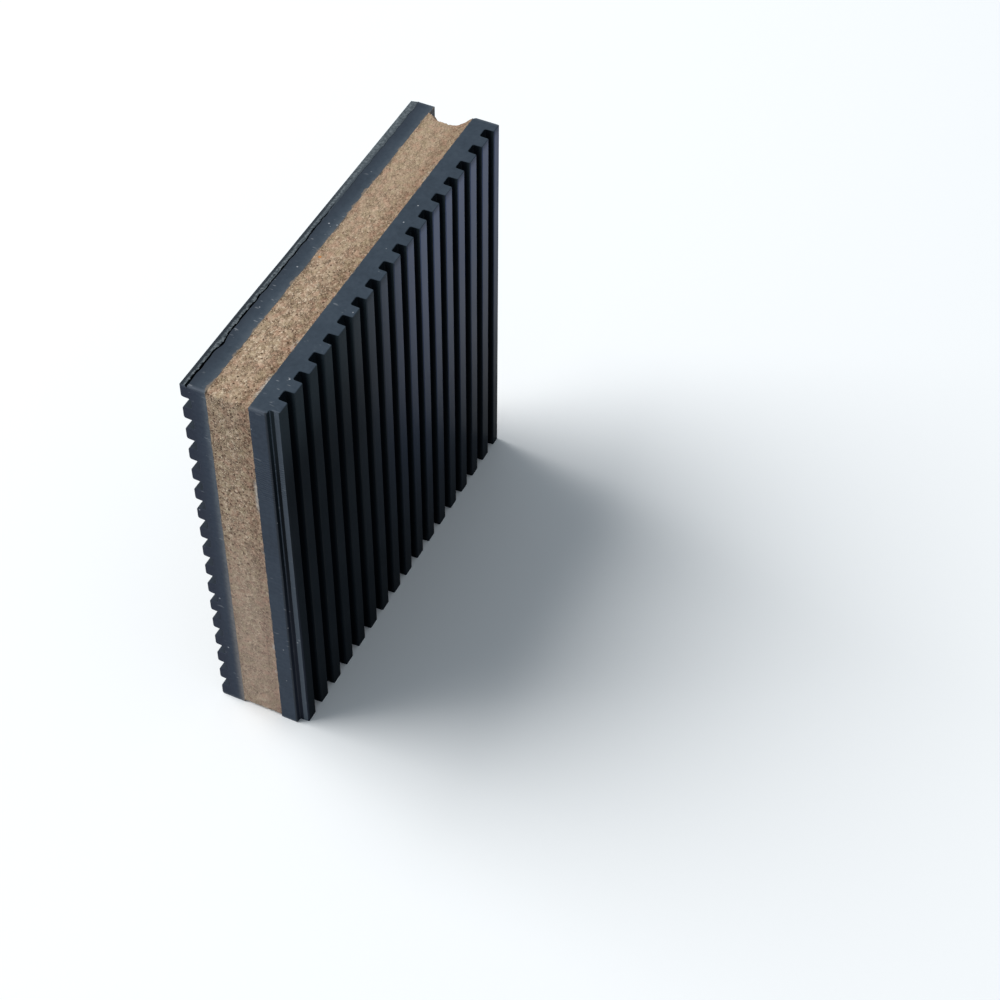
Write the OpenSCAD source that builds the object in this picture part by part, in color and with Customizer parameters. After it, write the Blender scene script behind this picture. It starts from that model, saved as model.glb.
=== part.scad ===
// Square machine pad: a slab of pressed cork bonded between two ribbed rubber sheets.
// The ribs of the two sheets cross each other. The pad stands on one of its cut edges:
// X runs along that edge, Y through the layers from front to rear, and Z up.
// The origin is the middle of the edge it stands on. All sizes are in millimetres.

/* [Pad] */
// Length of the edge that the pad stands on
pad_w = 101.6; // [50:0.1:160]
// Height of the standing pad
pad_h = 101.3; // [50:0.1:160]

/* [Layers] */
// Thickness of the front rubber sheet, ribs included
front_sheet_t = 6.4; // [4.5:0.1:10]
// Thickness of the cork slab
cork_t = 9.8; // [6:0.1:20]
// Thickness of the rear rubber sheet, ribs included
rear_sheet_t = 6.0; // [4.5:0.1:10]

/* [Ribs] */
// Distance from one rib to the next
rib_pitch = 6.1; // [4.5:0.1:8]
// Width of a rib at its crest
rib_w = 3.2; // [2:0.1:3.6]
// Height of a rib above the floor of the grooves
rib_depth = 2.3; // [1:0.1:3]
// Draft of each rib flank, measured across the rib at its root
rib_draft = 0.1; // [0:0.05:0.3]
// Strip of groove floor left at the near end of the front sheet
front_lead = 1.4; // [0.2:0.1:2.4]
// Strip of groove floor left at the top of the rear sheet
rear_lead = 0.45; // [0.1:0.05:2.4]

/* [Worn corner of the cork] */
// Length worn off the cork's top edge at the far end
worn_run = 3.8; // [1:0.1:8]
// Height worn off the cork's far end at the top
worn_drop = 4.4; // [1:0.1:8]

/* [Hidden] */

pad_t = front_sheet_t + cork_t + rear_sheet_t;
front_crest = -pad_t / 2;
front_bond = front_crest + front_sheet_t;
rear_bond = front_bond + cork_t;

// Reach of a cutter past the faces that it leaves through
over = 1;

// Section of a ribbed sheet: its run along +X, its bonded face on y = 0 and its crests at y = thickness.
// Each groove is cut between two ribs, and the ends of the run cut the pattern where they fall.
module ribbed_section(run, thickness, lead) {
    floor_y = thickness - rib_depth;
    groove_w = rib_pitch - rib_w;
    flare = rib_draft * (rib_depth + over) / rib_depth;
    groove_count = ceil((run - lead) / rib_pitch) + 1;
    difference() {
        square([run, thickness]);
        for (k = [0 : groove_count - 1]) {
            translate([lead - groove_w + k * rib_pitch, 0])
                polygon([
                    [rib_draft, floor_y],
                    [groove_w - rib_draft, floor_y],
                    [groove_w - rib_draft + flare, thickness + over],
                    [rib_draft - flare, thickness + over]
                ]);
        }
    }
}

// Rubber sheet with upright ribs, which faces -Y
module front_rubber_sheet() {
    color([0.16, 0.18, 0.21])
        translate([-pad_w / 2, front_bond, 0])
            linear_extrude(height = pad_h)
                mirror([0, 1])
                    ribbed_section(pad_w, front_sheet_t, front_lead);
}

// Pressed cork slab, worn away at the top of its far end
module cork_core() {
    color([0.68, 0.57, 0.45])
        translate([0, rear_bond, 0])
            rotate([90, 0, 0])
                linear_extrude(height = cork_t)
                    polygon([
                        [-pad_w / 2, 0],
                        [pad_w / 2, 0],
                        [pad_w / 2, pad_h - worn_drop],
                        [pad_w / 2 - worn_run, pad_h],
                        [-pad_w / 2, pad_h]
                    ]);
}

// Rubber sheet with ribs along the pad, which faces +Y. Its run starts at the top and goes down.
module rear_rubber_sheet() {
    color([0.17, 0.19, 0.22])
        translate([-pad_w / 2, rear_bond, pad_h])
            rotate([0, 90, 0])
                linear_extrude(height = pad_w)
                    ribbed_section(pad_h, rear_sheet_t, rear_lead);
}

front_rubber_sheet();
cork_core();
rear_rubber_sheet();
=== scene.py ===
import math

import bmesh
import bpy
from mathutils import Matrix, Quaternion, Vector, noise


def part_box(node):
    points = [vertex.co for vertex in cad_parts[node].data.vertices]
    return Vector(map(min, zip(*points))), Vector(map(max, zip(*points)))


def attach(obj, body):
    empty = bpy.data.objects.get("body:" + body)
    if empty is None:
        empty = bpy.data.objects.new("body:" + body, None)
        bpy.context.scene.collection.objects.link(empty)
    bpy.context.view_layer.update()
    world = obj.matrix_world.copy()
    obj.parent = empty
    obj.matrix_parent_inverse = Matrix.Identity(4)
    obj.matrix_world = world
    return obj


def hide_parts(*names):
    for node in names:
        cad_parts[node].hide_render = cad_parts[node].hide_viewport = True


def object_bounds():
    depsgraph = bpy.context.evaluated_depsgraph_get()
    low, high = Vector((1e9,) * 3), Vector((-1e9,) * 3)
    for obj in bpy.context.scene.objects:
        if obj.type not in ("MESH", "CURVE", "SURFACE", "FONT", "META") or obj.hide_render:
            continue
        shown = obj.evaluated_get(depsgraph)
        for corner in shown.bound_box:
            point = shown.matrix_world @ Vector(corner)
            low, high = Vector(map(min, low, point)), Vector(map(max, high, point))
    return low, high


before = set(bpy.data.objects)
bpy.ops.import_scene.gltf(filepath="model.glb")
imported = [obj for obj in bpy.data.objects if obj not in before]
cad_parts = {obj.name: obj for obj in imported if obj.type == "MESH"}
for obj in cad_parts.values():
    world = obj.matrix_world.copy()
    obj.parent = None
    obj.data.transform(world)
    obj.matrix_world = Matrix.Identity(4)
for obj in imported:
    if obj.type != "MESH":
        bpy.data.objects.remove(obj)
cad_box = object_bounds()

# Front rubber sheet: moulded in one piece with square ribs that stand upright on its outer face.
# The pad was cut from a larger laminate, so its top, bottom and ends are knife cuts. The near end keeps
# a strip of groove floor beside the first rib, whose root and outer flank are given the pale cut finish
# as painted highlights, and the far top corner is worn at the bond.
MM = 0.001
tiny = 1e-7
rib_pitch = 6.1 * MM
rib_width = 3.2 * MM
rib_depth = 2.3 * MM
rib_draft = 0.1 * MM
cut_round = 0.1 * MM


def smooth(value, start, end):
    """0 before start, 1 after end, and an even curve between; start may be the larger."""
    t = min(1.0, max(0.0, (value - start) / (end - start)))
    return t * t * (3 - 2 * t)


def edges_along(bm, axis):
    """The edges of a mesh that run along one axis: 0, 1 or 2."""
    others = [i for i in range(3) if i != axis]
    found = []
    for edge in bm.edges:
        way = edge.verts[1].co - edge.verts[0].co
        if all(abs(way[i]) < tiny for i in others):
            found.append(edge)
    return found


def of_kind(geometry, kind):
    """The vertices, edges or faces in the geometry that an operator returned."""
    return [item for item in geometry if isinstance(item, kind)]


def round_edges(bm, edges, radius, segments=3):
    """Rounds edges over, with the faces of the round in the material beside them."""
    bmesh.ops.bevel(bm, geom=edges, offset=radius, offset_type="OFFSET", segments=segments,
                    profile=0.5, affect="EDGES", material=-1, clamp_overlap=True)


def ribbed_sheet(run, length, thickness, lead, crest_round, root_round, first_round):
    """A sheet bonded on z = 0 with its ribs up, along Y, the first one `lead` away from x = 0."""
    stops = [0.0]
    rib_start = lead
    while rib_start < run:
        stops += [rib_start - rib_draft, min(rib_start + rib_width + rib_draft, run)]
        rib_start += rib_pitch
    if stops[-1] < run:
        stops.append(run)
    bm = bmesh.new()
    bmesh.ops.create_grid(bm, x_segments=len(stops) - 1, y_segments=1, size=0.5)
    ordered = sorted(bm.verts, key=lambda v: (round(v.co.x, 5), v.co.y))
    for i, vert in enumerate(ordered):
        vert.co = (stops[i // 2], length * (i % 2), 0)
    floor_z = thickness - rib_depth
    slab = bmesh.ops.extrude_face_region(bm, geom=bm.faces[:])["geom"]
    bmesh.ops.translate(bm, verts=of_kind(slab, bmesh.types.BMVert), vec=(0, 0, floor_z))
    strips = sorted(of_kind(slab, bmesh.types.BMFace), key=lambda f: f.calc_center_median().x)
    rib_edges = {edge for strip in strips[1::2] for edge in strip.edges}
    ribs = bmesh.ops.extrude_face_region(bm, geom=strips[1::2] + list(rib_edges))["geom"]
    bmesh.ops.translate(bm, verts=of_kind(ribs, bmesh.types.BMVert), vec=(0, 0, rib_depth))
    for crest in of_kind(ribs, bmesh.types.BMFace):
        middle = crest.calc_center_median().x
        for vert in crest.verts:
            if vert.co.x < run - tiny:
                vert.co.x += math.copysign(rib_draft, middle - vert.co.x)
    bmesh.ops.recalc_face_normals(bm, faces=bm.faces)
    bmesh.ops.dissolve_limit(bm, angle_limit=0.01, verts=bm.verts, edges=bm.edges)
    crests = [e for e in edges_along(bm, 1) if abs(e.verts[0].co.z - thickness) < tiny]
    first = [e for e in crests if e.verts[0].co.x < lead + 10 * tiny]
    round_edges(bm, first, first_round)
    round_edges(bm, [e for e in crests if e not in first], crest_round)
    roots = [e for e in edges_along(bm, 1)
             if abs(e.verts[0].co.z - floor_z) < tiny and tiny < e.verts[0].co.x < run - tiny]
    tight = [e for e in roots if e.verts[0].co.x < root_round]
    round_edges(bm, tight, lead / 2)
    round_edges(bm, [e for e in roots if e not in tight], root_round)
    return bm


def first_flank(bm, lead):
    """The flank of the first rib, the one that faces x = 0."""
    flanks = [f for f in bm.faces if f.normal.x < -0.9 and 100 * tiny < f.calc_center_median().x < lead]
    return max(flanks, key=lambda f: f.calc_area())


def split_lengthwise(bm, face, cuts):
    """Divides a face into strips that run along Y."""
    ends = [e for e in face.edges if abs(e.verts[0].co.y - e.verts[1].co.y) < tiny]
    bmesh.ops.subdivide_edges(bm, edges=ends, cuts=cuts)


def trim(bm, run, length, steps):
    """Takes the keen edge off the knife cuts and divides a sheet along its ribs."""
    bm.normal_update()
    rims = []
    for edge in bm.edges:
        places = [vert.co for vert in edge.verts]
        if max(place.z for place in places) < tiny:
            continue
        at_cap = any(all(abs(place.y - end) < tiny for place in places) for end in (0, length))
        at_end = any(all(abs(place.x - end) < tiny for place in places) for end in (0, run))
        if (at_cap or at_end) and edge.calc_face_angle(0.0) > 0.5:
            rims.append(edge)
    round_edges(bm, rims, cut_round, 1)
    lengthwise = [e for e in edges_along(bm, 1) if e.calc_length() > length / 2]
    bmesh.ops.subdivide_edges(bm, edges=lengthwise, cuts=steps - 1)


def slacken(bm, run, thickness, amount, seed):
    """Lets the crests sag and sway a little between the cuts, as soft rubber does."""
    for vert in bm.verts:
        if vert.co.z > thickness / 2:
            inside = smooth(vert.co.x, 0, 1 * MM) * smooth(vert.co.x, run, run - 1 * MM)
            sway = noise.noise(Vector((vert.co.x * 150, vert.co.y * 45, seed)))
            sag = abs(noise.noise(Vector((vert.co.x * 160, vert.co.y * 60, seed + 5))))
            vert.co.x += amount * sway * inside
            vert.co.z -= amount * sag


def piece(bm, name, finishes, sharp_angle=38):
    """Turns a bmesh into an object of the scene, smooth but for its sharp edges."""
    bmesh.ops.recalc_face_normals(bm, faces=bm.faces)
    for face in bm.faces:
        face.smooth = True
    for edge in bm.edges:
        edge.smooth = edge.calc_face_angle(0.0) < math.radians(sharp_angle)
    mesh = bpy.data.meshes.new(name)
    bm.to_mesh(mesh)
    bm.free()
    for finish in finishes:
        mesh.materials.append(finish)
    made = bpy.data.objects.new(name, mesh)
    bpy.context.scene.collection.objects.link(made)
    return made


def keep_flats(made):
    """Keeps large faces looking flat beside the small rounds on their edges."""
    weighting = made.modifiers.new("flat faces", "WEIGHTED_NORMAL")
    weighting.keep_sharp = True


class Value:
    """A socket of a finish's node tree, so that shader maths reads as plain expressions."""

    def __init__(self, finish, socket):
        self.finish = finish
        self.socket = socket

    def also(self, out):
        """Another output of the same node."""
        return Value(self.finish, self.socket.node.outputs[out])

    def maths(self, operation, first, second=0.0):
        return self.finish.node("Math", {"operation": operation}, {0: first, 1: second})

    def __add__(self, other):
        return self.maths("ADD", self, other)

    def __sub__(self, other):
        return self.maths("SUBTRACT", self, other)

    def __rsub__(self, other):
        return self.maths("SUBTRACT", other, self)

    def __mul__(self, other):
        return self.maths("MULTIPLY", self, other)

    def __abs__(self):
        return self.maths("ABSOLUTE", self)

    def or_more(self, other):
        """The larger of two values."""
        return self.maths("MAXIMUM", self, other)

    __radd__ = __add__
    __rmul__ = __mul__


class Finish:
    """A material whose nodes are added one call at a time."""

    def __init__(self, name):
        self.material = bpy.data.materials.new(name)
        self.material.use_nodes = True
        self.tree = self.material.node_tree
        self.tree.nodes.clear()
        self.place = self.node("TexCoord", out="Object")
        self.x = self.node("SeparateXYZ", {}, {"Vector": self.place})
        self.y = self.x.also("Y")
        self.z = self.x.also("Z")

    def node(self, kind, settings=None, sockets=None, out=0):
        """Adds a node, makes its settings, fills its sockets and returns one of its outputs."""
        made = self.tree.nodes.new("ShaderNode" + kind)
        for key, setting in (settings or {}).items():
            if key == "stops":
                ramp = made.color_ramp.elements
                while len(ramp) < len(setting):
                    ramp.new(1.0)
                for element, (position, colour) in zip(ramp, setting):
                    element.position = position
                    element.color = (*colour, 1.0)
            else:
                setattr(made, key, setting)
        for key, value in (sockets or {}).items():
            if isinstance(value, Value):
                self.tree.links.new(value.socket, made.inputs[key])
            else:
                made.inputs[key].default_value = value
        return Value(self, made.outputs[out]) if made.outputs else None

    def stretched(self, scale):
        """The object's coordinates, multiplied along each axis."""
        return self.node("Mapping", {}, {"Vector": self.place, "Scale": scale})

    def speckle(self, scale, detail=3.0, place=None):
        """Noise between 0 and 1, with features of about one over the scale, in metres."""
        return self.node("TexNoise", {},
                         {"Vector": place or self.place, "Scale": scale, "Detail": detail})

    def cells(self, scale, place=None, feature="F1"):
        """Cells of about one over the scale: a distance in each, and a colour for each."""
        return self.node("TexVoronoi", {"feature": feature},
                         {"Vector": place or self.place, "Scale": scale}, out="Distance")

    def blend(self, mask, below, above):
        """One colour over another, where the mask is white."""
        return self.node("Mix", {"data_type": "RGBA"}, {0: mask, 6: below, 7: above}, out=2)

    def between(self, value, low, high):
        """A value mapped smoothly from low..high to 0..1; low may be the larger."""
        return self.node("MapRange", {"interpolation_type": "SMOOTHSTEP"},
                         {"Value": value, "From Min": low, "From Max": high})

    def surface(self, sockets):
        """Ends the tree in one surface shader and returns the material."""
        shader = self.node("BsdfPrincipled", {}, sockets)
        self.node("OutputMaterial", {}, {"Surface": shader})
        return self.material


near_x, front_y = cad_box[0][:2]
far_x, rear_y, top_z = cad_box[1]
front_low, front_high = (Vector(corner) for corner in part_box("front_rubber_sheet"))
front_bond_y = front_high.y
front_floor_y = front_y + rib_depth
rear_bond_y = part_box("rear_rubber_sheet")[0][1]


def moulded_rubber():
    """Black rubber as it leaves the mould: a satin skin, shinier towards the far top, where the front
    crests carry a painted blue reflection, and lighter high up as a painted highlight. It is painted
    nearly black as shade in the grooves, lighter low in the first one, and dusty where it faces up."""
    finish = Finish("moulded rubber")
    cloud = finish.speckle(70, 4)
    pimples = finish.speckle(2600, 2)
    black = finish.blend(cloud, (0.006, 0.0085, 0.0115, 1), (0.010, 0.014, 0.0185, 1))
    # Painted highlight: all the moulded rubber is made lighter towards the top.
    upper = finish.between(finish.z, 78 * MM, 100 * MM)
    painted_top_highlight = finish.blend(upper * 0.45, black, (0.03, 0.045, 0.055, 1))
    far_end = finish.between(finish.x, -30 * MM, 18 * MM)
    far_top = far_end * finish.between(finish.z, -30 * MM, 120 * MM)
    shoulder = 0.5 + 0.5 * finish.between(finish.z, top_z - 0.1 * MM, top_z - 2.4 * MM)
    front_crests = finish.between(finish.y, front_y + 0.25 * MM, front_y + 0.08 * MM)
    # Painted reflection: the front crests towards the far top get a blue cast in their colour; skin
    # carries it with the painted highlight.
    painted_reflection = far_top * far_top * shoulder * front_crests
    skin = finish.blend(painted_reflection, painted_top_highlight, (0.021, 0.046, 0.128, 1))
    first_groove = finish.between(finish.x, near_x + 2 * MM, near_x + 1.5 * MM)
    below_crests = finish.between(abs(finish.y), rear_y - 0.3 * MM, rear_y - 1.1 * MM)
    grooves = below_crests * (1 - 0.7 * first_groove)
    # Painted shade: the grooves are made nearly black, less so in the first one.
    painted_groove_shade = finish.blend(grooves * 0.8, skin, (0.002, 0.003, 0.005, 1))
    # The first groove is made lighter low down.
    lighter_low_first_groove = first_groove * finish.between(finish.z, 62 * MM, 25 * MM)
    shaded = finish.blend(lighter_low_first_groove * 0.65, painted_groove_shade, (0.021, 0.025, 0.039, 1))
    facing = finish.node("NewGeometry", out="Normal")
    upward = finish.node("SeparateXYZ", {}, {"Vector": facing}, out="Z")
    dust = finish.between(upward, 0.6, 0.95) * (0.35 + 0.5 * finish.speckle(1500, 3))
    colour = finish.blend(dust, shaded, (0.05, 0.062, 0.08, 1))
    sheen = (0.06 + 0.46 * far_top * shoulder + 0.06 * cloud) * (1 - 0.92 * grooves) * (1 - dust)
    bump = finish.node("Bump", {}, {"Strength": 0.3, "Distance": 0.03 * MM, "Height": pimples})
    return finish.surface({"Base Color": colour, "Roughness": 0.6 + 0.2 * cloud, "Normal": bump,
                           "Specular IOR Level": 0.0, "Coat Weight": sheen, "Coat Roughness": 0.28})


def bond_wander(finish):
    """How far the edge of the cork strays to and fro across the rear bond."""
    return 3.0 * MM * (finish.speckle(290, 3) - 0.5)


def cut_rubber():
    """Rubber where the knife went through: matt and grey, with draw marks, dust, cork smeared over from
    the bonds and a film of glue that thins out from the rear one. The arrises at its corners and the
    outside of the first rib are painted pale as highlights."""
    finish = Finish("cut rubber")
    cloud = finish.speckle(90, 4)
    mottle = finish.speckle(1100, 3)
    draw_marks = finish.speckle(1.0, 2, finish.stretched((260, 120, 1500)))
    shade = 0.45 * cloud + 0.35 * mottle + 0.2 * draw_marks
    evenly = finish.node("ValToRGB", {"stops": [(0.3, (0.022, 0.034, 0.05)),
                                                (0.5, (0.034, 0.05, 0.071)),
                                                (0.7, (0.047, 0.065, 0.088))]}, {"Fac": shade})
    rear_outside = finish.between(finish.y, rear_bond_y + 1.1 * MM, rear_bond_y + 4.9 * MM)
    grey = finish.blend(rear_outside * 0.6, evenly, (0.014, 0.018, 0.03, 1))

    from_near = finish.x - near_x
    # The near end face is made bluer, a little more on the rear sheet.
    near_end = finish.between(from_near, 0.5 * MM, 0.25 * MM)
    on_rear = finish.between(finish.y, 4 * MM, 6 * MM)
    drawn = finish.blend(near_end * (0.15 + 0.08 * on_rear), grey, (0.006, 0.006, 0.038, 1))
    # Painted highlights: the outer part of the first rib's flank and the arrises at the top and bottom
    # of the ends are made pale; rubbed holds them.
    over_floor = front_floor_y - finish.y
    rib_side = (finish.between(from_near, 1.8 * MM, 1.5 * MM)
                * finish.between(over_floor, 0.2 * MM, 0.8 * MM))
    half_height = top_z / 2
    arris = (finish.between(abs(finish.x), far_x - 0.9 * MM, far_x)
             * finish.between(abs(finish.z - half_height), half_height - 1.0 * MM, half_height))
    rubbed = finish.blend(rib_side * 0.35 + arris * 0.5, drawn, (0.13, 0.15, 0.18, 1))
    groove_edge = (finish.between(from_near, 0.5 * MM, 0.2 * MM)
                   * finish.between(over_floor, -0.6 * MM, -0.25 * MM))
    shaded = finish.blend(groove_edge * 0.75, rubbed, (0.012, 0.016, 0.022, 1))
    # Painted shade: the pale root line of the first rib is made darker low down.
    in_root = (finish.between(from_near, 0.2 * MM, 0.35 * MM)
               * finish.between(over_floor, -0.2 * MM, -0.05 * MM)
               * finish.between(over_floor, 0.95 * MM, 0.8 * MM))
    low_down = finish.between(finish.z, 66 * MM, 34 * MM)
    faint = finish.blend(in_root * low_down, shaded, (0.016, 0.02, 0.031, 1))

    on_top = finish.between(finish.z, top_z - 1.6 * MM, top_z - 0.8 * MM)
    gathered = finish.speckle(240, 0) + 0.12 * on_top
    specks = finish.between(finish.cells(420), 0.1, 0.06) * finish.between(gathered, 0.6, 0.66)
    threads = finish.speckle(1.0, 1, finish.stretched((1500, 420, 1500))) + 0.03 * on_top
    hairs = finish.between(threads, 0.7, 0.78) * finish.between(cloud, 0.45, 0.6)
    off_far_end = finish.between(finish.x, 28 * MM, 18 * MM)
    dust = (specks * 0.7 + hairs * (0.25 + 0.08 * on_top)) * off_far_end
    dusty = finish.blend(dust, faint, (0.4, 0.42, 0.45, 1))

    thinning = finish.between(abs(finish.y - rear_bond_y), 2.5 * MM, 0.0)
    lower = finish.between(finish.z, 90 * MM, 10 * MM)
    spread = (0.5 + 0.5 * lower - 0.24 * on_top) * (0.7 * cloud + 1.3 * mottle)
    film = thinning * thinning * (0.25 + 0.25 * thinning) * spread
    glue = finish.blend(lower, (0.24, 0.275, 0.3, 1), (0.3, 0.27, 0.245, 1))
    filmed = finish.blend(film, dusty, glue)
    cork_middle = (front_bond_y + rear_bond_y) / 2
    past_bond = abs(finish.y - cork_middle) - (rear_bond_y - cork_middle)
    rear_top = on_top * finish.between(finish.y, 0.0, 1.0 * MM)
    ragged = past_bond + bond_wander(finish) * rear_top + 1.4 * MM * finish.speckle(700, 3)
    smear = finish.between(ragged, 0.85 * MM, 0.5 * MM)
    colour = finish.blend(smear * (0.6 + 0.2 * rear_top), filmed, (0.21, 0.168, 0.13, 1))

    waves = finish.node("TexWave", {"bands_direction": "Z"},
                        {"Vector": finish.place, "Scale": 480.0, "Distortion": 2.5, "Detail": 1.0})
    chatter = (finish.between(abs(finish.z - 81 * MM), 8 * MM, 4 * MM)
               * finish.between(finish.y, front_bond_y + 0.7 * MM, front_bond_y - 0.3 * MM))
    bump = finish.node("Bump", {}, {"Strength": 0.7, "Distance": 0.07 * MM,
                                    "Height": draw_marks + 0.5 * mottle + 2.2 * waves * chatter})
    return finish.surface({"Base Color": colour, "Roughness": 0.7 + 0.2 * cloud, "Normal": bump,
                           "Specular IOR Level": 0.25})


def torn_rubber():
    """Rubber that tore instead of parting cleanly: a pale rough line between an outer edge and the tear,
    with painted shade on the outer edge, beside the crack and deep in it; plainer towards the far end,
    where it is worn."""
    finish = Finish("torn rubber")
    mottle = finish.speckle(1900, 4)
    rough = finish.node("ValToRGB", {"stops": [(0.36, (0.022, 0.03, 0.037)),
                                               (0.5, (0.075, 0.093, 0.106)),
                                               (0.66, (0.16, 0.18, 0.195))]}, {"Fac": mottle})
    worn = finish.between(finish.x, -10 * MM, 30 * MM)
    pale = finish.blend(worn * 0.4, rough, (0.08, 0.1, 0.115, 1))
    far_part = finish.between(finish.x, 22 * MM, 40 * MM)
    middle_part = finish.between(finish.x, -24 * MM, 4 * MM) * (1 - 0.5 * far_part)
    # Painted shade: the strip is made darker beside the crack, most in the middle stretch.
    inner = finish.between(finish.y, rear_y - 1.1 * MM, rear_y - 1.8 * MM) * middle_part
    painted_crack_shade = finish.blend(inner * 0.8, pale, (0.034, 0.046, 0.06, 1))
    # Painted shade: the outer edge of the strip is made dark, fading out towards the far end.
    outer = (finish.between(finish.y, rear_y - 0.95 * MM, rear_y - 0.65 * MM)
             * finish.between(finish.x, 34 * MM, 4 * MM))
    painted_edge_shade = finish.blend(outer * 0.95, painted_crack_shade, (0.018, 0.025, 0.034, 1))
    # Painted shade: the crack is made black deep down, fading out towards the far end.
    deep = finish.between(finish.z, top_z - 0.6 * MM, top_z - 0.8 * MM)
    open_end = finish.between(finish.x, 14 * MM, -32 * MM)
    colour = finish.blend(deep * open_end, painted_edge_shade, (0.006, 0.008, 0.011, 1))
    bump = finish.node("Bump", {}, {"Strength": 0.7, "Distance": 0.12 * MM, "Height": mottle})
    return finish.surface({"Base Color": colour, "Roughness": 0.75 + 0.2 * mottle, "Normal": bump,
                           "Specular IOR Level": 0.25})


rubber_finishes = [moulded_rubber(), cut_rubber(), torn_rubber()]
MOULDED, CUT, TORN = range(len(rubber_finishes))


def mark_cuts(bm, low, high, bond_y):
    """Gives the cut finish to the faces on the four cut sides of a sheet, and to its bonded face."""
    bm.normal_update()
    for face in bm.faces:
        centre = face.calc_center_median()
        if abs(centre.y - bond_y) < 10 * tiny:
            face.material_index = CUT
        for axis in (0, 2):
            depth = min(centre[axis] - low[axis], high[axis] - centre[axis])
            if depth < cut_round and abs(face.normal[axis]) > 0.5:
                face.material_index = CUT


front_size = front_high - front_low
front_lead = 1.4 * MM
front_floor = front_size.y - rib_depth
painted_highlight_height = front_floor + 1.0 * MM
worn_corner = 0.7 * MM
slack = 0.05 * MM
front_bm = ribbed_sheet(run=front_size.x, length=front_size.z, thickness=front_size.y, lead=front_lead,
                        crest_round=0.28 * MM, root_round=0.42 * MM, first_round=0.28 * MM)
split_lengthwise(front_bm, first_flank(front_bm, front_lead), cuts=5)
far_top_bond = Vector((front_size.x, front_size.z, 0))
worn_verts = [v for v in front_bm.verts if (v.co - far_top_bond).length < 10 * tiny]
bmesh.ops.bevel(front_bm, geom=worn_verts, offset=worn_corner, offset_type="OFFSET", segments=1,
                profile=0.5, affect="VERTICES", material=-1)
trim(front_bm, front_size.x, front_size.z, steps=70)
front_bm.normal_update()
for face in front_bm.faces:
    centre = face.calc_center_median()
    # Painted highlights: the root and the outer part of the first rib's flank take the pale cut finish.
    if face.normal.x < -0.5 and centre.x < front_lead:
        in_root = face.normal.z > 0.5
        if in_root or centre.z > painted_highlight_height:
            face.material_index = CUT
    if (centre - far_top_bond).length < worn_corner:
        face.material_index = CUT
slacken(front_bm, front_size.x, front_size.y, slack, seed=1)
front_bm.transform(Matrix.Translation((front_low.x, front_high.y, front_low.z))
                   @ Matrix.Rotation(math.pi / 2, 4, "X"))
mark_cuts(front_bm, front_low, front_high, front_bond_y)
front_sheet = piece(front_bm, "front_sheet", rubber_finishes)
keep_flats(front_sheet)
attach(front_sheet, "root")
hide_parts("front_rubber_sheet")

# Cork core: granules of cork pressed into a slab and glued to both sheets. It was cut together with
# them, so its edges show the broken grains, and the top of its far end has crumbled away.
core_low, core_high = (Vector(corner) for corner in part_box("cork_core"))
core_size = core_high - core_low
core_corner_round = 1.1 * MM
worn_run = 3.8 * MM
worn_drop = 4.4 * MM
worn_reach = 3.0
hollow_depth = 0.55 * MM
crumb_depth = 0.4 * MM
grain = 0.9 * MM
grain_step = 0.28 * MM
skin_depth = 0.02 * MM
seam_depth = 0.13 * MM
pit_depth = 0.45 * MM
wave_depth = 0.08 * MM


def cork_slab():
    """A slab standing in XY with finely divided edges, its layers along Z."""
    bm = bmesh.new()
    bmesh.ops.create_grid(bm, x_segments=1, y_segments=1, size=0.5)
    bmesh.ops.scale(bm, vec=(core_size.x, core_size.z, 1), verts=bm.verts)
    corner = Vector((core_size.x, core_size.z, 0)) / 2
    others = [v for v in bm.verts if (v.co - corner).length > grain]
    bmesh.ops.bisect_plane(bm, geom=bm.verts[:] + bm.edges[:] + bm.faces[:],
                           plane_co=corner - Vector((worn_run, 0, 0)), plane_no=(worn_drop, worn_run, 0),
                           clear_outer=True)
    bmesh.ops.bevel(bm, geom=others, offset=core_corner_round, segments=4, profile=0.5,
                    affect="VERTICES", material=-1)
    for edge in bm.edges[:]:
        cuts = round(edge.calc_length() / grain_step) - 1
        if cuts > 0:
            bmesh.ops.subdivide_edges(bm, edges=[edge], cuts=cuts)
    wall = bmesh.ops.extrude_face_region(bm, geom=bm.faces[:])["geom"]
    bmesh.ops.translate(bm, verts=of_kind(wall, bmesh.types.BMVert), vec=(0, 0, core_size.y))
    bmesh.ops.recalc_face_normals(bm, faces=bm.faces)
    bmesh.ops.subdivide_edges(bm, edges=edges_along(bm, 2), cuts=round(core_size.y / grain_step) - 1)
    return bm


def crumble(bm):
    """Wears the far top corner into a hollow that runs out towards the front sheet."""
    corner = Vector((core_high.x, 0, core_high.z))
    inward = Vector((-worn_drop, 0, -worn_run)).normalized()
    for vert in bm.verts:
        across = (vert.co.y - core_low.y) / core_size.y
        away = Vector((corner.x - vert.co.x, 0, corner.z - vert.co.z))
        reach = away.x / worn_run + away.z / worn_drop
        if reach < worn_reach:
            kept_front = 0.9 * max(0.0, 1 - across / 0.4) ** 1.8
            kept_rear = 0.25 * smooth(across, 0.8, 1.0)
            filled = away * (kept_front + kept_rear) * smooth(reach, worn_reach, 1.0)
            hollow = hollow_depth * smooth(across, 0, 0.2) * smooth(across, 1.0, 0.6)
            rough = crumb_depth * abs(noise.noise(vert.co * 700))
            vert.co += filled + inward * (hollow + rough) * smooth(reach, 1.8, 1.0)


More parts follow.
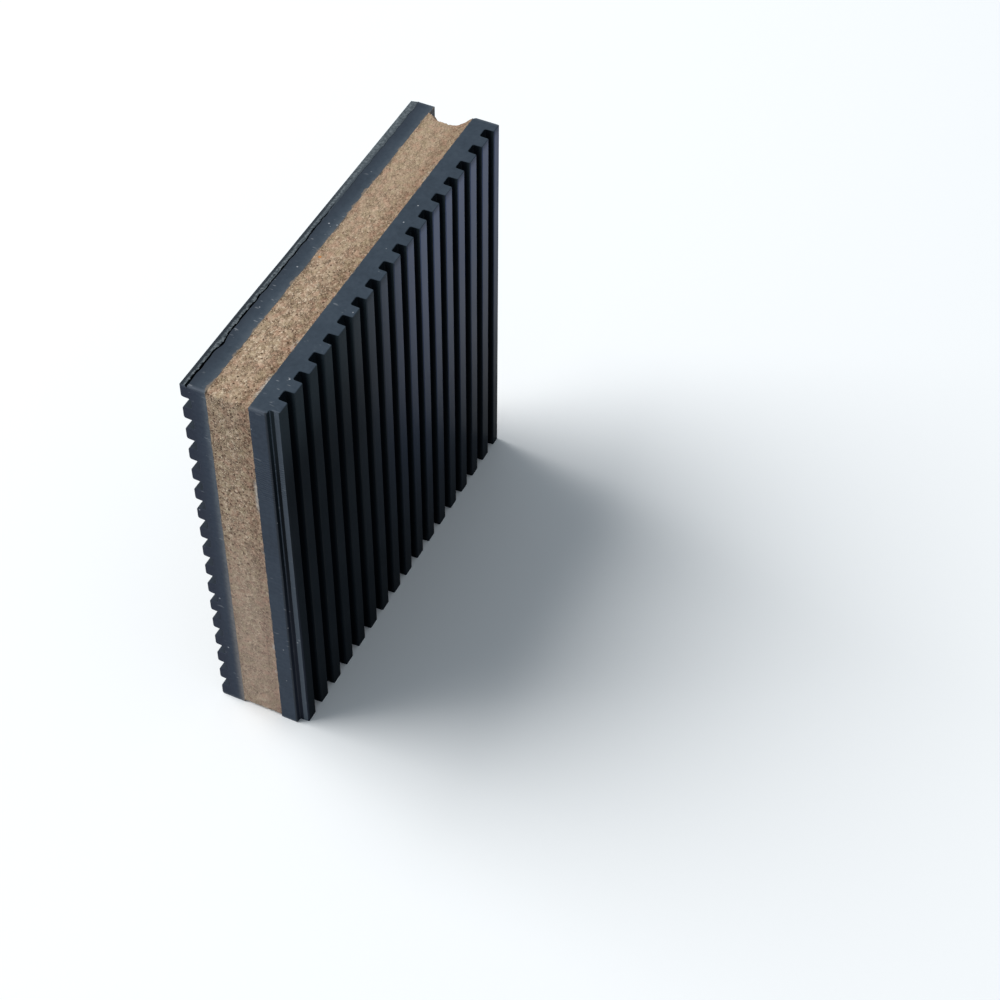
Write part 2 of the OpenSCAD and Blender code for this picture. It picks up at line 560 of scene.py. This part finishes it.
def press_grains(bm):
    """Sinks the edge of the slab between its grains, and deeper where a grain fell out."""
    bm.normal_update()
    moves = []
    for vert in bm.verts:
        outward = Vector((vert.normal.x, 0, vert.normal.z))
        if outward.length < 0.3:
            continue
        near, cells = noise.voronoi(vert.co / grain)
        border = 1 - min(1.0, (near[1] - near[0]) / 0.4)
        lost = max(0.0, noise.noise(cells[0] * 7.3) - 0.2)
        free = smooth(min(vert.co.y - core_low.y, core_high.y - vert.co.y), 0, 0.6 * MM)
        wave = wave_depth * abs(noise.noise(vert.co * 250))
        sunk = skin_depth + free * (seam_depth * border ** 2 + pit_depth * lost + wave)
        moves.append((vert, outward.normalized() * -sunk))
    for vert, move in moves:
        vert.co += move


def pressed_cork():
    """Tan pressed cork: pale, brown and a few dark granules and a bit of red bark, with shade in the
    gaps. It is browner beside the sheets and greyer at the near end, pale where glue ran out along the
    front one, and partly covered with rubber that was drawn over its edge at the rear one."""
    finish = Finish("pressed cork")
    fine = finish.speckle(3000, 3)
    swirl = finish.node("TexNoise", {}, {"Vector": finish.place, "Scale": 2000, "Detail": 2.0},
                        out="Color")
    bend = 0.45 * MM
    bent = finish.node("VectorMath", {"operation": "MULTIPLY_ADD"},
                       {0: swirl, 1: (bend, bend, bend), 2: finish.place})
    chip_scale = 1900
    chips = finish.cells(chip_scale, bent)
    tone = finish.node("SeparateColor", {}, {"Color": chips.also("Color")})
    far_side = finish.between(finish.x, -30 * MM, 40 * MM)
    low_side = finish.between(finish.z, 75 * MM, 30 * MM)
    lively = (1 - 0.5 * far_side) * (1 - 0.45 * low_side)
    # The cork is made darker and browner beside both sheets, most beside the front one.
    darker_beside_bonds = (0.15 * finish.between(finish.y, core_low.y + 3.7 * MM, core_low.y + 1.7 * MM)
              + 0.06 * finish.between(finish.y, core_high.y - 1.7 * MM, core_high.y - 0.3 * MM))
    mixed = 0.53 + (0.36 * tone + 0.64 * fine - 0.5) * lively - darker_beside_bonds
    grains = finish.node("ValToRGB", {"stops": [(0.18, (0.15, 0.085, 0.05)),
                                                (0.36, (0.29, 0.2, 0.133)),
                                                (0.5, (0.39, 0.287, 0.197)),
                                                (0.64, (0.48, 0.366, 0.26)),
                                                (0.82, (0.72, 0.6, 0.46))]}, {"Fac": mixed})
    cloud = finish.speckle(110, 3)
    warmed = finish.blend(finish.between(cloud, 0.42, 0.7) * 0.4, grains, (0.37, 0.255, 0.18, 1))
    hue = finish.speckle(620, 3)
    redder = finish.blend(finish.between(hue, 0.5, 0.66) * 0.3, warmed, (0.48, 0.27, 0.19, 1))
    tinted = finish.blend(finish.between(hue, 0.5, 0.34) * 0.3, redder, (0.38, 0.31, 0.185, 1))

    seams = finish.cells(chip_scale, bent, "DISTANCE_TO_EDGE")
    open_seams = finish.between(seams, 0.16, 0.02) * finish.between(finish.speckle(600, 2), 0.46, 0.6)
    holes = finish.cells(1200, bent)
    open_hole = finish.node("SeparateColor", {}, {"Color": holes.also("Color")}, out=1)
    torn_end = finish.between(finish.x, core_low.x + 0.8 * MM, core_low.x + 0.1 * MM)
    hole_size = 0.26 * open_hole + 0.1 * torn_end - 0.25 * fine
    gaps = finish.between(hole_size - holes, -0.2, -0.08)
    dark = (gaps * 0.85).or_more(open_seams * 0.55) * lively
    pitted = finish.blend(dark, tinted, (0.08, 0.043, 0.025, 1))

    glue_band = finish.between(finish.y + 0.8 * MM * fine, core_low.y + 1.4 * MM, core_low.y + 0.6 * MM)
    top_run = (finish.between(abs(finish.x + 44.5 * MM), 4.5 * MM, 2 * MM)
               * finish.between(fine, 0.35, 0.55))
    end_run = (finish.between(abs(finish.z - 75 * MM), 6 * MM, 3 * MM)
               * finish.between(finish.x, core_low.x + 1.4 * MM, core_low.x + 0.6 * MM))
    glue_spots = finish.between(finish.speckle(190, 2), 0.62, 0.72)
    glue = glue_band * (top_run + end_run).or_more(glue_spots)
    glued = finish.blend(glue * 0.6, pitted, (0.45, 0.45, 0.43, 1))
    bark_place = (-5.4 * MM, 4.0 * MM, core_high.z)
    from_bark = finish.node("VectorMath", {"operation": "DISTANCE"},
                            {0: finish.place, 1: bark_place}, out="Value")
    bark = finish.between(from_bark, 0.5 * MM, 0.3 * MM)
    barked = finish.blend(bark, glued, (0.5, 0.2, 0.06, 1))
    # The near end is made a little greyer, more so low down.
    near_end = finish.between(finish.x, core_low.x + 1.6 * MM, core_low.x + 0.8 * MM)
    greyer_near_end = finish.blend(near_end * (0.02 + 0.1 * low_side), barked, (0.41, 0.36, 0.4, 1))
    on_top = finish.between(finish.z, core_high.z - 1.6 * MM, core_high.z - 0.8 * MM)
    inside_bond = core_high.y - finish.y - bond_wander(finish) + 0.5 * MM * fine
    covered = finish.between(inside_bond, 0.3 * MM, 0.05 * MM) * on_top
    colour = finish.blend(covered * 0.75, greyer_near_end, (0.1, 0.092, 0.085, 1))

    relief = 0.6 * fine + 0.5 * tone - 0.9 * chips * chips - 0.8 * dark
    bump = finish.node("Bump", {}, {"Strength": 1.0, "Distance": 0.13 * MM, "Height": relief})
    return finish.surface({"Base Color": colour, "Roughness": 0.85 + 0.1 * fine, "Normal": bump,
                           "Specular IOR Level": 0.2})


core_bm = cork_slab()
core_middle = (core_low + core_high) / 2
core_bm.transform(Matrix.Translation((core_middle.x, core_high.y, core_middle.z))
                  @ Matrix.Rotation(math.pi / 2, 4, "X"))
crumble(core_bm)
press_grains(core_bm)
core = piece(core_bm, "cork_slab", [pressed_cork()], sharp_angle=75)
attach(core, "root")
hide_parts("cork_core")

# Rear rubber sheet: the same moulded sheet, glued on with its ribs along the pad. The knife ran into the
# top of its first rib, cut the base square and tore the rib, which left a pale rough strip and a crack.
rear_low, rear_high = (Vector(corner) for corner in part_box("rear_rubber_sheet"))
rear_size = rear_high - rear_low
rear_lead = 0.45 * MM
rear_floor = rear_size.y - rib_depth
torn_rib_round = 0.2 * MM
clean_cut = 4.2 * MM
flap_place = 14 * MM
flap_length = 1.6 * MM
flap_depth = 0.5 * MM
strip_fall = 0.3 * MM
crack_width = 0.27 * MM
crack_depth = 0.9 * MM
far_sag = 0.4 * MM
rear_bm = ribbed_sheet(run=rear_size.z, length=rear_size.x, thickness=rear_size.y, lead=rear_lead,
                       crest_round=0.5 * MM, root_round=0.5 * MM, first_round=torn_rib_round)
split_lengthwise(rear_bm, first_flank(rear_bm, rear_lead), cuts=9)
trim(rear_bm, rear_size.z, rear_size.x, steps=240)


def tear_line(along):
    """How far out the clean cut of the base reaches, at a distance `along` from the near end."""
    flap = flap_depth * math.exp(-((along - flap_place) / flap_length) ** 2)
    narrowing = 0.25 * MM * smooth(along, 8 * MM, 45 * MM)
    wobble = 0.25 * MM * noise.noise(Vector((along * 420, 2, 0)))
    return clean_cut - narrowing - flap + wobble


def tear_first_rib(bm):
    """Pushes the cut of the base out to the tear line, opens the crack and roughens the strip behind it,
    which falls towards its outer edge but for the stretch at the near end."""
    crest_start = rear_size.y - torn_rib_round - 100 * tiny
    for vert in bm.verts:
        along = rear_size.x - vert.co.y
        lift = strip_fall * smooth(along, 48 * MM, 22 * MM)
        if vert.co.z >= crest_start and vert.co.x < rear_lead + torn_rib_round + 100 * tiny:
            vert.co.x -= lift
            continue
        if vert.co.x > rear_lead + 100 * tiny or vert.co.z < rear_floor - cut_round - 10 * tiny:
            continue
        line = tear_line(along)
        if vert.co.z < rear_floor + 10 * tiny:
            vert.co.z += line - rear_floor
        elif vert.co.z < crest_start:
            outward = (vert.co.z - rear_floor) / (crest_start - rear_floor)
            beyond = outward * (crest_start - line)
            vert.co.z = line + beyond
            lump = 0.1 * MM * noise.noise(Vector((along * 900, vert.co.z * 900, 7)))
            gape = 0.14 * MM * smooth(along, 14 * MM, 6 * MM)
            opening = crack_width + gape + 0.2 * MM * noise.noise(Vector((along * 700, 5, 0)))
            crack = crack_depth * smooth(beyond, opening + 0.08 * MM, opening)
            torn = 0.12 * MM + (strip_fall - lift) * outward + crack - lump
            rubbed = (rear_lead - lift) * outward
            worn = smooth(along, 30 * MM, 72 * MM)
            vert.co.x = max(0.03 * MM, torn + (rubbed - torn) * worn)


def mark_tear(bm):
    """Gives the torn finish to the strip and the crack, but for the skin that is left on the rib."""
    for face in bm.faces:
        centre = face.calc_center_median()
        beyond = centre.y - rear_low.y - tear_line(centre.x - rear_low.x)
        on_strip = beyond > (0.05 * MM if face.material_index == CUT else -0.2 * MM)
        at_top = centre.z > rear_high.z - 1.5 * MM and face.normal.z > -0.5
        if on_strip and at_top and abs(face.normal.x) < 0.9:
            skinned = face.normal.y < -0.5 or (face.normal.y > 0.6 and centre.x < 12 * MM)
            face.material_index = MOULDED if skinned else TORN


def sag_far_top(bm):
    """Lets the uppermost part of the sheet sag towards the far end."""
    for vert in bm.verts:
        depth = rear_high.z - vert.co.z
        vert.co.z -= far_sag * smooth(vert.co.x, -5 * MM, 50 * MM) * max(0.0, 1 - depth / (2 * MM))


tear_first_rib(rear_bm)
slacken(rear_bm, rear_size.z, rear_size.y, slack, seed=9)
rear_turn = Matrix(((0, -1, 0), (0, 0, 1), (-1, 0, 0))).to_4x4()
rear_bm.transform(Matrix.Translation((rear_high.x, rear_low.y, rear_high.z)) @ rear_turn)
mark_cuts(rear_bm, rear_low, rear_high, rear_bond_y)
mark_tear(rear_bm)
sag_far_top(rear_bm)
rear_sheet = piece(rear_bm, "rear_sheet", rubber_finishes)
keep_flats(rear_sheet)
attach(rear_sheet, "root")
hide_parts("rear_rubber_sheet")

# Studio: a pale floor, one large soft light above and behind, a weak one on the left, faint light from
# all round, and a camera that looks down on the near end of the pad.
bpy.context.scene.view_settings.view_transform = "Standard"
floor_reach = 4
floor_bm = bmesh.new()
bmesh.ops.create_grid(floor_bm, x_segments=1, y_segments=1, size=floor_reach)
pale_floor = Finish("pale floor").surface({"Base Color": (0.93, 0.95, 0.97, 1), "Roughness": 0.9,
                                           "Specular IOR Level": 0.0})
floor = piece(floor_bm, "floor", [pale_floor])

world = bpy.data.worlds.new("studio")
bpy.context.scene.world = world
world.use_nodes = True
all_round = world.node_tree.nodes["Background"].inputs
all_round["Color"].default_value = (0.84, 0.93, 1.0, 1)
all_round["Strength"].default_value = 0.36

pad_middle = Vector((0, 0, top_z / 2))
light_distance = 3.0


def soft_light(name, direction, size, power, colour):
    """A square soft light that faces the middle of the pad."""
    data = bpy.data.lights.new(name, "AREA")
    data.size = size
    data.energy = power
    data.color = colour
    light = bpy.data.objects.new(name, data)
    light.location = pad_middle + Vector(direction).normalized() * light_distance
    light.rotation_euler = (pad_middle - light.location).to_track_quat("-Z", "Y").to_euler()
    bpy.context.scene.collection.objects.link(light)


soft_light("key", direction=(-0.12, 0.62, 0.77), size=2.2, power=103, colour=(1.0, 0.985, 0.96))
soft_light("left fill", direction=(-0.95, -0.05, 0.3), size=1.0, power=1.6, colour=(0.76, 0.92, 1.0))

camera_data = bpy.data.cameras.new("camera")
camera_data.lens = 81.04
camera_data.sensor_width = 36
camera = bpy.data.objects.new("camera", camera_data)
camera_place = Vector((-311.04, -182.14, 418.03)) * MM
camera_aim = Vector((76.21, 0, -54.27)) * MM
camera_roll = math.radians(0.444)
camera.location = camera_place
facing = (camera_aim - camera_place).to_track_quat("-Z", "Y") @ Quaternion((0, 0, 1), camera_roll)
camera.rotation_euler = facing.to_euler()
bpy.context.scene.collection.objects.link(camera)
bpy.context.scene.camera = camera
